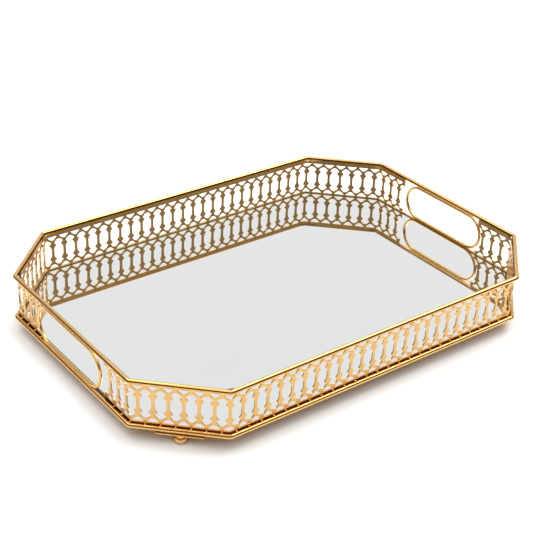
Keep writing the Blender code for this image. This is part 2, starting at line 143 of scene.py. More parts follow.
class FootSizes(bpy.types.PropertyGroup):
    """Sizes of the feet and their plates."""

    sides: count("Sides", "Facets round a foot", 64, 16)
    rim: length("Rim", "Radius of a foot's softened rim", 0.25 * MM)
    waist: length("Waist", "How far a collar draws in", 0.2 * MM)
    plate_length: length("Plate length", "Length of a foot plate along its cut corner", 34.0 * MM)
    plate_depth: length("Plate depth", "From a plate's outer edge to its inner edge", 16.0 * MM)
    plate_corner: length("Plate corner", "Radius of a plate's inner corners", 5.0 * MM)


class FinishColours(bpy.types.PropertyGroup):
    """Colours of the finishes."""

    gold: tint("Gold", "Polished gold plating", (0.80, 0.50, 0.185))
    gold_warm: tint("Warm gold", "Gold plating where it is a little thicker", (0.76, 0.44, 0.14))
    # Painted shade and painted dark reflection: the colour of the browner bands laid into the gold plating.
    gold_painted_dark: tint("Brown gold", "Gold plating in crevices", (0.20, 0.075, 0.014))
    mirror: tint("Mirror", "Silvered glass", (0.86, 0.875, 0.87))
    glass_edge: tint("Glass edge", "Ground edge of the glass", (0.42, 0.52, 0.49))
    felt: tint("Felt", "Felt below the tray", (0.028, 0.028, 0.032))
    floor: tint("Floor", "Studio floor", (0.93, 0.93, 0.93))


class StageSettings(bpy.types.PropertyGroup):
    """Camera and light."""

    azimuth: angle("Azimuth", "Camera heading from +Y towards +X", 37.84)
    elevation: angle("Elevation", "Height of the camera above the horizon", 29.67)
    roll: angle("Roll", "Turn of the camera about its axis", 2.24)
    distance: length("Distance", "From the camera to what it looks at", 1.0341)
    aim: FloatVectorProperty(name="Aim", description="Place that the camera looks at", subtype="XYZ", size=3,
                             default=(0.0228, 0.0403, 0.0116))
    lens: FloatProperty(name="Lens", description="Focal length in millimetres", default=82.4)
    key: FloatProperty(name="Key", description="Power of the larger soft box, in watts", default=9.0)
    sky: FloatProperty(name="Sky", description="Strength of the studio's white walls", default=1.0)


class TraySettings(bpy.types.PropertyGroup):
    """Everything that can be changed."""

    gallery: PointerProperty(type=GallerySizes)
    wires: PointerProperty(type=WireSizes)
    feet: PointerProperty(type=FootSizes)
    colours: PointerProperty(type=FinishColours)
    stage: PointerProperty(type=StageSettings)


# ---- finishes

# Painted shade: a browner band on the sheet just above the rail, where the groove lies in shade.
PAINTED_GROOVE_SHADE = (SHEET_LOW - 1.0 * MM, SHEET_LOW + 4.4 * MM, 0.4 * MM, 0.22)


class Socket:
    """An output of a node, which can stand in a Python expression."""

    def __init__(self, owner, socket):
        self.owner = owner
        self.socket = socket

    def maths(self, operation, first, second):
        return self.owner.node("ShaderNodeMath", {0: first, 1: second}, operation=operation)

    def __add__(self, other):
        return self.maths("ADD", self, other)

    def __sub__(self, other):
        return self.maths("SUBTRACT", self, other)

    def __mul__(self, other):
        return self.maths("MULTIPLY", self, other)

    def __radd__(self, other):
        return self.maths("ADD", other, self)


class Shading:
    """A node tree that is built with expressions."""

    def __init__(self, tree):
        self.tree = tree

    def node(self, kind, values=None, output=0, **settings):
        """Add a node, set it, then give its sockets values or links. Returns one of its outputs."""
        made = self.tree.nodes.new(kind)
        for key, value in settings.items():
            if key == "stops":
                self.set_stops(made.color_ramp, value)
            else:
                setattr(made, key, value)
        for key, value in (values or {}).items():
            if isinstance(value, Socket):
                self.tree.links.new(value.socket, made.inputs[key])
            else:
                made.inputs[key].default_value = value
        return Socket(self, made.outputs[output])

    @staticmethod
    def set_stops(ramp, stops):
        while len(ramp.elements) < len(stops):
            ramp.elements.new(1.0)
        for element, (place, value) in zip(ramp.elements, stops):
            element.position = place
            element.color = (value, value, value, 1.0)

    def split(self, vector):
        """The X, Y and Z of a vector."""
        apart = self.tree.nodes.new("ShaderNodeSeparateXYZ")
        self.tree.links.new(vector.socket, apart.inputs[0])
        return [Socket(self, out) for out in apart.outputs]

    def place(self, scale=(1.0, 1.0, 1.0), turn=(0.0, 0.0, 0.0)):
        """Object coordinates, stretched and turned."""
        where = self.node("ShaderNodeTexCoord", output="Object")
        return self.node("ShaderNodeMapping", {"Vector": where, "Scale": scale, "Rotation": turn})

    def noise(self, where, scale, detail=3.0, rough=0.55):
        """Soft random values from 0 to 1."""
        values = {"Vector": where, "Scale": scale, "Detail": detail, "Roughness": rough}
        return self.node("ShaderNodeTexNoise", values)

    def ramp(self, value, stops):
        """Values picked from stops."""
        return self.node("ShaderNodeValToRGB", {"Fac": value}, stops=stops)

    def band(self, low, high, soft, strength):
        """`strength` from a low to a high height, and 0 above and below, with edges that are `soft` wide."""
        height = self.split(self.node("ShaderNodeTexCoord", output="Object"))[2]
        rise = {"From Min": low, "From Max": low + soft}
        fall = {"From Min": high - soft, "From Max": high, "To Min": 1.0, "To Max": 0.0}
        up = self.node("ShaderNodeMapRange", {"Value": height, **rise})
        down = self.node("ShaderNodeMapRange", {"Value": height, **fall})
        return up * down * strength

    def blend(self, factor, first, second):
        """Mix two colours."""
        colours = {"Factor": factor, 6: first, 7: second}
        return self.node("ShaderNodeMix", colours, 2, data_type="RGBA")

    def bump(self, height, strength, distance):
        """A bumped normal."""
        return self.node("ShaderNodeBump", {"Height": height, "Strength": strength, "Distance": distance})


class Finish(Shading):
    """A material with a Principled shader."""

    def __init__(self, name, **constants):
        self.material = bpy.data.materials.new(name)
        self.material.use_nodes = True
        super().__init__(self.material.node_tree)
        self.shader = self.tree.nodes["Principled BSDF"]
        for key, value in constants.items():
            self.shader.inputs[key.replace("_", " ")].default_value = value

    def feed(self, base, roughness=None, bump=None):
        """Link a colour, a roughness and a bump (height, strength, distance) to the shader."""
        sockets = {"Base Color": base, "Roughness": roughness, "Normal": bump and self.bump(*bump)}
        for key, value in sockets.items():
            if value:
                self.tree.links.new(value.socket, self.shader.inputs[key])
        return self.material


def colour(value):
    """A colour property as four numbers."""
    return (value[0], value[1], value[2], 1.0)


def gold_plate(name, colours, rough, spread, bump, shade=None, depth=1.0):
    """Bright gold plating: a drifting tint, faint haze, hairline scratches and a soft orange-peel surface.

    `shade` gives the low end, the high end, the soft edge and the strength of a browner band: painted shade
    and painted dark reflection laid into the plating's colour. A `depth` below 1 darkens all of the plating,
    as painted shade.
    """
    made = Finish(name, Metallic=1.0)
    where = made.place()
    drift = made.ramp(made.noise(where, 55.0), [(0.35, 0.0), (0.68, 1.0)])
    pale, warm = (tuple(part * depth for part in gold) + (1.0,) for gold in (colours.gold, colours.gold_warm))
    base = made.blend(drift, pale, warm)
    if shade:
        # Painted shade and painted dark reflection: a browner band blended into the gold's colour.
        base = made.blend(made.band(*shade), base, colour(colours.gold_painted_dark))
    haze = made.noise(where, 160.0, 4.0)
    hairs = made.noise(made.place((900.0, 60.0, 2600.0), (0.3, 0.2, 0.9)), 1.0, 2.0)
    hair_lines = made.ramp(hairs, [(0.62, 0.0), (0.70, 1.0)])
    roughness = rough + (haze - 0.5) * spread + hair_lines * (0.5 * spread)
    height = made.noise(where, 420.0, 2.0) + hair_lines * 0.15
    return made.feed(base, roughness, bump=(height, bump, 0.0002))


def solder_finish(colours):
    """Brazing beads under the plating: duller and lumpier than the wire."""
    made = Finish("solder_bead_gold", Metallic=1.0)
    where = made.place()
    lumps = made.noise(where, 700.0, 3.0)
    base = made.blend(lumps, colour(colours.gold), (0.80, 0.66, 0.42, 1.0))
    return made.feed(base, 0.20 + lumps * 0.16, bump=(lumps, 0.5, 0.0003))


def mirror_finish(colours):
    """Silvered glass with a trace of haze from wiping."""
    made = Finish("mirror_silvered_glass", Metallic=1.0, Coat_IOR=1.5)
    wipe = made.noise(made.place((9.0, 30.0, 9.0), (0.0, 0.0, 0.5)), 1.0, 4.0)
    dust = made.ramp(made.noise(made.place(), 900.0, 2.0), [(0.70, 0.0), (0.78, 1.0)])
    clear = colour(colours.mirror)
    hazy = tuple(part * 0.97 for part in clear[:3]) + (1.0,)
    base = made.blend(wipe, clear, hazy)
    return made.feed(base, 0.008 + wipe * 0.02 + dust * 0.03)


def glass_edge_finish(colours):
    """Ground and polished arris of the glass."""
    made = Finish("mirror_ground_edge", IOR=1.5, Metallic=0.35)
    grind = made.noise(made.place((1.0, 1.0, 6.0)), 1800.0, 2.0)
    pale = tuple(min(1.0, part * 1.25) for part in colours.glass_edge) + (1.0,)
    base = made.blend(grind, colour(colours.glass_edge), pale)
    return made.feed(base, 0.12 + grind * 0.2, bump=(grind, 0.2, 0.0001))


def board_finish(_colours):
    """Brown hard fibre board: pressed fibres with darker flecks."""
    made = Finish("backing_fibre_board", IOR=1.45)
    fibres = made.noise(made.place((220.0, 900.0, 900.0), (0.0, 0.0, 0.7)), 1.0, 5.0)
    flecks = made.ramp(made.noise(made.place(), 1500.0, 2.0), [(0.60, 0.0), (0.72, 1.0)])
    base = made.blend(fibres, (0.20, 0.115, 0.055, 1.0), (0.36, 0.24, 0.135, 1.0))
    dark = made.blend(flecks * 0.6, base, (0.10, 0.055, 0.03, 1.0))
    return made.feed(dark, 0.72 + fibres * 0.2, bump=(fibres, 0.4, 0.0002))


def felt_finish(colours):
    """Pressed black felt: matted fibres, lint and uneven nap."""
    made = Finish("underside_felt", Sheen_Weight=0.6, Sheen_Roughness=0.5, IOR=1.35)
    where = made.place()
    matted = made.noise(where, 1400.0, 6.0, 0.7)
    nap = made.noise(where, 60.0, 3.0)
    strands = made.noise(made.place((500.0, 2600.0, 500.0), (0.0, 0.0, 0.6)), 1.0, 3.0)
    lint = made.ramp(made.noise(where, 2300.0, 1.0), [(0.72, 0.0), (0.80, 1.0)])
    pale = tuple(2.6 * part for part in colours.felt) + (1.0,)
    base = made.blend(nap * 0.5 + strands * 0.5, colour(colours.felt), pale)
    speckled = made.blend(lint * 0.25, base, (0.35, 0.35, 0.36, 1.0))
    height = matted + strands * 0.5
    return made.feed(speckled, 0.86 + matted * 0.12, bump=(height, 0.9, 0.0005))


def rubber_finish(_colours):
    """Moulded black rubber, slightly dusty."""
    made = Finish("foot_pad_rubber", IOR=1.5)
    where = made.place()
    grain = made.noise(where, 2400.0, 3.0)
    dust = made.noise(where, 300.0, 4.0)
    base = made.blend(dust, (0.022, 0.022, 0.023, 1.0), (0.065, 0.064, 0.062, 1.0))
    return made.feed(base, 0.66 + dust * 0.2, bump=(grain, 0.4, 0.0001))


def zinc_finish(_colours):
    """Zinc-plated screw steel."""
    made = Finish("foot_screw_zinc", Metallic=1.0)
    where = made.place()
    bloom = made.noise(where, 900.0, 3.0)
    base = made.blend(bloom, (0.50, 0.51, 0.53, 1.0), (0.62, 0.62, 0.60, 1.0))
    return made.feed(base, 0.28 + bloom * 0.15, bump=(bloom, 0.15, 0.0001))


def floor_finish(colours):
    """Matt white paper sweep with a very faint tooth."""
    made = Finish("studio_paper", Roughness=0.9, Specular_IOR_Level=0.1)
    tooth = made.noise(made.place(), 1200.0, 3.0)
    shade = tuple(part * 0.985 for part in colours.floor) + (1.0,)
    base = made.blend(tooth, colour(colours.floor), shade)
    return made.feed(base, bump=(tooth, 0.05, 0.0001))


def painted_wire_line(node, low, high, soft):
    """A painted dark line along a wire, a painted reflection of a dim horizon with painted shade, in shares
    of its radius above its middle.
    """
    bottom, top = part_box(node)
    radius = (top.z - bottom.z) / 2
    return (bottom.z + radius * (1 + low), bottom.z + radius * (1 + high), radius * soft, 1.0)


made_finishes = {}


def finish(name):
    """One of the tray's materials by its short name, made once."""
    colours = bpy.context.scene.tray.colours
    golds = {
        "wire": ("wire_gold_plate", 0.12, 0.06, 0.05),
        # The rim's and the rail's browner bands are painted: a painted reflection of the dim horizon on the
        # camera side, with painted shade on the rim.
        "rim": ("rim_gold_plate", 0.12, 0.06, 0.05, painted_wire_line("top_rim", -0.06, 0.70, 0.15)),
        "rail": ("rail_gold_plate", 0.12, 0.06, 0.05, painted_wire_line("base_rail", 0.42, 0.90, 0.12)),
        # The sheet's 0.88 is painted shade: a darker copy of the gold that stands in for less light on the
        # strip.
        "sheet": ("sheet_gold_plate", 0.20, 0.09, 0.07, PAINTED_GROOVE_SHADE, 0.88),
        "cast": ("turned_gold_plate", 0.19, 0.09, 0.06),
        "pan": ("pan_gold_plate", 0.27, 0.12, 0.12),
    }
    others = {"solder": solder_finish, "mirror": mirror_finish, "edge": glass_edge_finish,
              "board": board_finish, "felt": felt_finish, "rubber": rubber_finish, "zinc": zinc_finish,
              "floor": floor_finish}
    if name not in made_finishes:
        if name in golds:
            title, *look = golds[name]
            made_finishes[name] = gold_plate(title, colours, *look)
        else:
            made_finishes[name] = others[name](colours)
    return made_finishes[name]


# ---- paths and meshes

def plan(out):
    """Corners of the eight-sided plan, `out` outside the gallery plane, anticlockwise from front right."""
    x = PLANE_X + out
    y = PLANE_Y + out
    cut = CORNER_CUT + out * (2 - math.sqrt(2))
    return [
        Vector((x, -y + cut, 0.0)),
        Vector((x, y - cut, 0.0)),
        Vector((x - cut, y, 0.0)),
        Vector((-x + cut, y, 0.0)),
        Vector((-x, y - cut, 0.0)),
        Vector((-x, -y + cut, 0.0)),
        Vector((-x + cut, -y, 0.0)),
        Vector((x - cut, -y, 0.0)),
    ]


def round_corner(before, corner, after, radius, steps):
    """Points of an arc that replaces a corner of an anticlockwise path."""
    into = (corner - before).normalized()
    out = (after - corner).normalized()
    turn = into.angle(out)
    start = corner - into * (radius * math.tan(turn / 2))
    centre = start + Vector((-into.y, into.x, 0.0)) * radius
    spoke = start - centre
    return [centre + Matrix.Rotation(turn * i / steps, 3, "Z") @ spoke for i in range(steps + 1)]


def rounded_ring(corners, radius, steps):
    """A closed path with an arc at each corner."""
    points = []
    for i, corner in enumerate(corners):
        points.extend(round_corner(corners[i - 1], corner, corners[(i + 1) % len(corners)], radius, steps))
    return points


def poly_curve(name, points, closed):
    """A curve object through points."""
    data = bpy.data.curves.new(name, "CURVE")
    data.dimensions = "3D"
    spline = data.splines.new("POLY")
    spline.points.add(len(points) - 1)
    for point, place in zip(spline.points, points):
        point.co = (*place, 1.0)
    spline.use_cyclic_u = closed
    return link(bpy.data.objects.new(name, data))


def link(thing):
    """Put an object into the scene."""
    bpy.context.scene.collection.objects.link(thing)
    return thing


def mesh_object(name, bm, materials, smooth_angle=SMOOTH_ANGLE):
    """An object from a bmesh, smooth apart from its edges."""
    data = bpy.data.meshes.new(name)
    bm.to_mesh(data)
    bm.free()
    for material in materials:
        data.materials.append(material)
    data.shade_smooth()
    data.set_sharp_from_angle(angle=math.radians(smooth_angle))
    return link(bpy.data.objects.new(name, data))


def point_cloud(name, places, turns=None, sizes=None):
    """A mesh of loose points, each with a turn about Z and a size."""
    data = bpy.data.meshes.new(name)
    data.from_pydata([tuple(place) for place in places], [], [])
    for key, values in (("turn", turns or [0.0] * len(places)), ("size", sizes or [1.0] * len(places))):
        data.attributes.new(key, "FLOAT", "POINT").data.foreach_set("value", values)
    return link(bpy.data.objects.new(name, data))


def lathe(profile, sides):
    """A closed turned solid about Z. The profile runs from the axis at the bottom to the axis at the top."""
    bm = bmesh.new()
    line = [bm.verts.new((r, 0.0, z)) for r, z in profile]
    edges = [bm.edges.new(pair) for pair in zip(line, line[1:])]
    bmesh.ops.spin(bm, geom=line + edges, cent=(0.0, 0.0, 0.0), axis=(0.0, 0.0, 1.0), angle=2 * math.pi,
                   steps=sides, use_merge=True)
    bmesh.ops.remove_doubles(bm, verts=bm.verts, dist=0.002 * MM)
    bmesh.ops.recalc_face_normals(bm, faces=bm.faces)
    return bm


def arc(centre, radius, first, last, steps):
    """Points (r, z) of an arc. Angles are in degrees from +r towards +z."""
    angles = [math.radians(first + (last - first) * i / steps) for i in range(steps + 1)]
    return [(centre[0] + radius * math.cos(a), centre[1] + radius * math.sin(a)) for a in angles]


def curve_through(start, control, end, steps):
    """Points of a curve that leaves `start` and reaches `end` along lines through `control`."""
    points = []
    for i in range(steps + 1):
        t = i / steps
        points.append(start * (1 - t) ** 2 + control * (2 * t * (1 - t)) + end * t ** 2)
    return points


# ---- geometry nodes

class Nodes(Shading):
    """A geometry node tree with named inputs."""

    def __init__(self, name, inputs):
        tree = bpy.data.node_groups.new(name, "GeometryNodeTree")
        super().__init__(tree)
        tree.interface.new_socket("Geometry", in_out="INPUT", socket_type="NodeSocketGeometry")
        self.identifiers = {}
        for label, kind in inputs:
            made = tree.interface.new_socket(label, in_out="INPUT", socket_type="NodeSocket" + kind)
            self.identifiers[label] = made.identifier
        tree.interface.new_socket("Geometry", in_out="OUTPUT", socket_type="NodeSocketGeometry")
        self.entry = tree.nodes.new("NodeGroupInput")

    def given(self, label):
        """One of the tree's inputs."""
        return Socket(self, self.entry.outputs[label])

    def helper(self, label):
        """The shape of an object that is one of the tree's inputs."""
        return self.node("GeometryNodeObjectInfo", {"Object": self.given(label)}, output="Geometry")

    def vector(self, operation, first, second):
        """Vector maths."""
        return self.node("ShaderNodeVectorMath", {0: first, 1: second}, operation=operation)

    def scaled(self, vector, factor):
        """A vector times a number."""
        return self.node("ShaderNodeVectorMath", {0: vector, "Scale": factor}, operation="SCALE")

    def close(self, geometry):
        """Realize, set the material and end the tree."""
        real = self.node("GeometryNodeRealizeInstances", {"Geometry": geometry})
        painted = self.node("GeometryNodeSetMaterial", {"Geometry": real, "Material": self.given("Material")})
        exit_node = self.tree.nodes.new("NodeGroupOutput")
        self.tree.links.new(painted.socket, exit_node.inputs[0])
        return self


def bent_strip_tree():
    """Cells in a row, welded to each other and to the strip's ends, then bent along a path."""
    tree = Nodes("Pierced strip along a path", [
        ("Cell", "Object"), ("Path", "Object"), ("Cells", "Int"), ("Pitch", "Float"), ("First bar", "Float"),
        ("Path start", "Float"), ("Weld", "Float"), ("Material", "Material"),
    ])
    cell = tree.helper("Cell")
    path = tree.helper("Path")
    first = tree.node("ShaderNodeCombineXYZ", {"X": tree.given("First bar")})
    step = tree.node("ShaderNodeCombineXYZ", {"X": tree.given("Pitch")})
    row = {"Count": tree.given("Cells"), "Start Location": first, "Offset": step}
    line = tree.node("GeometryNodeMeshLine", row, mode="OFFSET")
    cells = tree.node("GeometryNodeInstanceOnPoints", {"Points": line, "Instance": cell})
    real = tree.node("GeometryNodeRealizeInstances", {"Geometry": cells})
    joined = tree.tree.nodes.new("GeometryNodeJoinGeometry")
    for part in (tree.given("Geometry"), real):
        tree.tree.links.new(part.socket, joined.inputs[0])
    loose = Socket(tree, joined.outputs[0])
    welded = tree.node("GeometryNodeMergeByDistance", {"Geometry": loose, "Distance": tree.given("Weld")})
    along, height, depth = tree.split(tree.node("GeometryNodeInputPosition"))
    sample = tree.tree.nodes.new("GeometryNodeSampleCurve")
    sample.mode = "LENGTH"
    tree.tree.links.new(path.socket, sample.inputs["Curves"])
    tree.tree.links.new((along - tree.given("Path start")).socket, sample.inputs["Length"])
    spot = Socket(tree, sample.outputs["Position"])
    heading = Socket(tree, sample.outputs["Tangent"])
    sideways = tree.vector("CROSS_PRODUCT", heading, (0.0, 0.0, 1.0))
    outwards = tree.vector("NORMALIZE", sideways, (0.0, 0.0, 0.0))
    up = tree.node("ShaderNodeCombineXYZ", {"Z": height})
    place = tree.vector("ADD", tree.vector("ADD", spot, up), tree.scaled(outwards, depth))
    bent = tree.node("GeometryNodeSetPosition", {"Geometry": welded, "Position": place})
    return tree.close(bent)


def wire_tree():
    """A round wire along a path."""
    tree = Nodes("Wire along a path", [("Radius", "Float"), ("Sides", "Int"), ("Material", "Material")])
    size = {"Resolution": tree.given("Sides"), "Radius": tree.given("Radius")}
    ring = tree.node("GeometryNodeCurvePrimitiveCircle", size)
    values = {"Curve": tree.given("Geometry"), "Profile Curve": ring, "Fill Caps": True}
    wire = tree.node("GeometryNodeCurveToMesh", values)
    return tree.close(tree.node("GeometryNodeSetShadeSmooth", {"Geometry": wire}))


def copies_tree():
    """One part at every point, turned about Z and sized by the point."""
    tree = Nodes("Part at every point", [("Part", "Object"), ("Material", "Material")])
    part = tree.helper("Part")
    turn = tree.node("GeometryNodeInputNamedAttribute", {"Name": "turn"}, data_type="FLOAT")
    size = tree.node("GeometryNodeInputNamedAttribute", {"Name": "size"}, data_type="FLOAT")
    heading = tree.node("ShaderNodeCombineXYZ", {"Z": turn})
    values = {"Points": tree.given("Geometry"), "Instance": part, "Rotation": heading, "Scale": size}
    return tree.close(tree.node("GeometryNodeInstanceOnPoints", values))


def grow(name, source, tree, values, material, replaced, helpers=()):
    """Run a tree on an object, keep the result as a plain piece and remove what it was made from."""
    modifier = source.modifiers.new("grow", "NODES")
    modifier.node_group = tree.tree
    for label, value in {**values, "Material": material}.items():
        modifier[tree.identifiers[label]] = value
    depsgraph = bpy.context.evaluated_depsgraph_get()
    data = bpy.data.meshes.new_from_object(source.evaluated_get(depsgraph), depsgraph=depsgraph)
    if not data.polygons:
        raise RuntimeError(f"{name} came out empty")
    data.name = name
    source.modifiers.clear()
    for thing in (source, *helpers):
        bpy.data.objects.remove(thing, do_unlink=True)
    return settle(link(bpy.data.objects.new(name, data)), replaced)


def settle(piece, replaced):
    """Fix a piece to the tray and hide the imported parts that it stands for."""
    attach(piece, BODY)
    if replaced:
        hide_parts(*replaced)
    return piece


# ---- the pierced strip

class Pattern:
    """The gallery's repeat, in millimetres. X is 0 on a bar, Y is 0 at the sheet's lower edge.

    The outlines' points are given above the lower border, and sideways from the middle of the opening.
    """

    band_depth = 4.4            # from a border to the far side of the bands that run along it

    def __init__(self, sizes):
        self.pitch = sizes.pitch / MM
        self.bar = sizes.bar / MM
        self.knob = sizes.knob / MM
        self.low = sizes.lower_border / MM
        sheet = (SHEET_HIGH - SHEET_LOW) / MM
        self.height = sheet + sizes.overlap / MM
        self.high = sheet - sizes.upper_border / MM

    def mirrored(self, points):
        """A lower half outline followed by its mirror image about the strip's middle height."""
        return points + self.upside_down(reversed(points))

    def upside_down(self, points):
        """Points mirrored about the strip's middle height."""
        middle_height = (self.low + self.high) / 2
        return [Vector((p.x, 2 * middle_height - p.y)) for p in points]

    def tall_opening(self, centre):
        """Pointed at both ends, shouldered above each knob and widest between the bars."""
        half = self.pitch / 2
        ear = half - self.knob / 2
        tip = Vector((0.0, 2.95))
        flank = Vector((3.05, 4.8))
        shoulder = Vector((half - 1.4, 6.1))
        knob = Vector((ear + 0.1, 7.6))
        under_knob = Vector((ear + 0.15, 8.9))
        bar = Vector((half - self.bar / 2, 11.8))
        right = curve_through(tip, Vector((1.85, 3.1)), flank, 6)
        right += curve_through(flank, Vector((half - 1.45, 5.6)), shoulder, 4)[1:]
        right += curve_through(shoulder, Vector((half - 1.5, 6.9)), knob, 4)[1:]
        right += curve_through(knob, Vector((ear - 0.45, 8.2)), under_knob, 4)[1:]
        right += curve_through(under_knob, Vector((half - self.bar / 2 - 0.35, 10.0)), bar, 6)[1:]
        right = [Vector((p.x, p.y + self.low)) for p in right]
        outline = self.mirrored(right)
        left = [Vector((-p.x, p.y)) for p in reversed(outline[1:-1])]
        return [Vector((centre + p.x, p.y)) for p in outline + left]

    def small_openings(self, centre):
        """The low arches at a bar: straight against the border, drawn in to the foot of the bar."""
        corner = Vector((self.pitch / 2 - 1.0, 0.25))
        foot = Vector((self.pitch / 2 - 1.45, 0.95))
        side = Vector((1.45, 3.15))
        apex = Vector((0.0, 3.55))
        right = [Vector((0.0, 0.0)), Vector((corner.x - 0.3, 0.0)), corner]
        right += curve_through(foot, Vector((2.6, 2.1)), side, 4)
        right += curve_through(side, Vector((0.75, 3.5)), apex, 4)[1:]
        half = [Vector((p.x, p.y + self.low)) for p in right]
        low = half + [Vector((-p.x, p.y)) for p in reversed(half[1:-1])]
        return [[Vector((centre + p.x, p.y)) for p in loop] for loop in (low, self.upside_down(low))]

    def guides(self, centre, left, right):
        """Extra points in the borders and the bar, so that the sheet bends evenly at a fold."""
        points = []
        steps = 12
        for row in (self.low / 3, 2 * self.low / 3, (self.high + self.height) / 2):
            for i in range(steps + 1):
                points.append(Vector((centre + self.pitch * (i / steps - 0.5), row)))
        bar_length = self.high - self.low - 2 * self.band_depth
        for i in range(steps + 1):
            points.append(Vector((centre, self.low + self.band_depth + bar_length * i / steps)))
        return [p for p in points if left <= p.x <= right]


def in_outline(point, polygon):
    """True where a flat point lies inside a polygon."""
    found = False
    for here, there in zip(polygon, polygon[1:] + polygon[:1]):
        if (here.y > point.y) != (there.y > point.y):
            if point.x < here.x + (point.y - here.y) * (there.x - here.x) / (there.y - here.y):
                found = not found
    return found


def pierced_sheet(bm, left, right, seams, holes, guides, height, thickness, edge):
    """Flat pierced sheet with softened edges, in millimetres, open at the seams where cells are welded."""
    outline = [Vector((left, 0.0)), Vector((right, 0.0)), Vector((right, height)), Vector((left, height))]
    points, edges = [], []
    for loop in [outline] + holes:
        first = len(points)
        points += loop
        edges += [(first + i, first + (i + 1) % len(loop)) for i in range(len(loop))]
    flat, _, faces, _, _, _ = delaunay_2d_cdt(points + guides, edges, [], 0, 1e-4)
    kept = []
    for face in faces:
        centre = sum((flat[i] for i in face), Vector((0.0, 0.0))) / len(face)
        if in_outline(centre, outline) and not any(in_outline(centre, hole) for hole in holes):
            kept.append(list(face))
    sides = {pair for face in kept for pair in zip(face, face[1:] + face[:1])}
    rim = [(a, b) for a, b in sides if (b, a) not in sides]
    on_seam = {i for i, p in enumerate(flat) if any(abs(p.x - seam) < 1e-3 for seam in seams)}
    walls = [(a, b) for a, b in rim if not (a in on_seam and b in on_seam)]
    inwards = {}
    for a, b in walls:
        run = (flat[b] - flat[a]).normalized()
        for i in (a, b):
            inwards[i] = inwards.get(i, Vector((0.0, 0.0))) + Vector((-run.y, run.x))
    layers = []
    for z, pull in ((thickness / 2, edge), (thickness / 2 - edge, 0.0), (edge - thickness / 2, 0.0),
                    (-thickness / 2, edge)):
        layer = {}
        for i in {i for face in kept for i in face}:
            move = inwards.get(i, Vector((0.0, 0.0)))
            if i in on_seam:
                move = Vector((0.0, move.y))
            shift = move.normalized() * pull if move.length > 0.01 else Vector((0.0, 0.0))
            if pull or i in inwards:
                layer[i] = bm.verts.new(((flat[i].x + shift.x) * MM, (flat[i].y + shift.y) * MM, z * MM))
        layers.append(layer)
    for face in kept:
        bm.faces.new([layers[0][i] for i in face])
        bm.faces.new([layers[3][i] for i in reversed(face)])
    for upper, lower in zip(layers, layers[1:]):
        for a, b in walls:
            bm.faces.new([upper[b], upper[a], lower[a], lower[b]])


def strip_cell(pattern, sizes):
    """One cell, centred on its bar and open at both seams."""
    half = pattern.pitch / 2
    holes = [pattern.tall_opening(-half), pattern.tall_opening(half), *pattern.small_openings(0.0)]
    bm = bmesh.new()
    pierced_sheet(bm, -half, half, (-half, half), holes, pattern.guides(0.0, -half, half), pattern.height,
                  SHEET / MM, sizes.edge / MM)
    return mesh_object("strip_cell", bm, [])


def strip_ends(name, pattern, sizes, first_bar, last_bar):
    """The two cut ends of a strip, past its first and last whole cells."""
    bm = bmesh.new()
    start, stop = -SHORT_ARM_END / MM, LONG_ARM_END / MM
    half = pattern.pitch / 2
    first_seam = first_bar * pattern.pitch - half
    last_seam = last_bar * pattern.pitch + half
    for left, right, seam, number in ((start, first_seam, first_seam, first_bar - 1),
                                      (last_seam, stop, last_seam, last_bar + 1)):
        bar = number * pattern.pitch
        holes = [pattern.tall_opening(bar - half), pattern.tall_opening(bar + half)]
        holes += pattern.small_openings(bar)
        pierced_sheet(bm, left, right, (seam,), holes, pattern.guides(bar, left, right), pattern.height,
                      SHEET / MM, sizes.edge / MM)
    return mesh_object(name, bm, [])


def strip_path(name, turned, radius):
    """The folded path of a strip, as long as the flat strip."""
    corners = plan(0.0)
    spin = Matrix.Rotation(math.pi if turned else 0.0, 3, "Z")
    fold_points = [corners[i % 8] for i in (5, 6, 7, 8)]
    start = corners[5] + Vector((0.0, SHORT_ARM_END - CORNER_SIDE, 0.0))
    end = corners[0] + Vector((0.0, LONG_ARM_END - LONG_SIDE - CORNER_SIDE, 0.0))
    stops = [start, *fold_points, end]
    points = [start]
    for before, corner, after in zip(stops, stops[1:], stops[2:]):
        points += round_corner(before, corner, after, radius, 6)
    points.append(end)
    lifted = [spin @ (p + Vector((0.0, 0.0, SHEET_LOW))) for p in points]
    return poly_curve(name, lifted, False)


# ---- operators

class TrayOperator(bpy.types.Operator):
    """Shared by every operator of the tray."""

    bl_options = {"REGISTER", "UNDO"}

    def execute(self, context):
        self.build(context.scene.tray)
        return {"FINISHED"}


class TRAY_OT_gallery(TrayOperator):
    """Cut and fold the two pierced strips"""

    bl_idname = "tray.gallery"
    bl_label = "Pierced gallery"

    def build(self, tray):
        pattern = Pattern(tray.gallery)
        first_bar = -math.floor((SHORT_ARM_END / MM - pattern.pitch / 2) / pattern.pitch)
        last_bar = math.floor((LONG_ARM_END / MM - pattern.pitch / 2) / pattern.pitch)
        tree = bent_strip_tree()
        for side, turned in (("front", False), ("rear", True)):
            name = "pierced_strip_" + side
            panels = [side] + [f"corner_{side}_{hand}" for hand in ("left", "right")]
            panels += [f"end_{hand}_{side}" for hand in ("left", "right")]
            cell = strip_cell(pattern, tray.gallery)
            path = strip_path(name + "_path", turned, tray.gallery.fold)
            ends = strip_ends(name + "_flat", pattern, tray.gallery, first_bar, last_bar)
            values = {
                "Cell": cell,
                "Path": path,
                "Cells": last_bar - first_bar + 1,
                "Pitch": tray.gallery.pitch,
                "First bar": first_bar * tray.gallery.pitch,
                "Path start": -SHORT_ARM_END,
                "Weld": WELD,
            }
            grow(name, ends, tree, values, finish("sheet"),
                 ["gallery_" + panel for panel in panels], (cell, path))


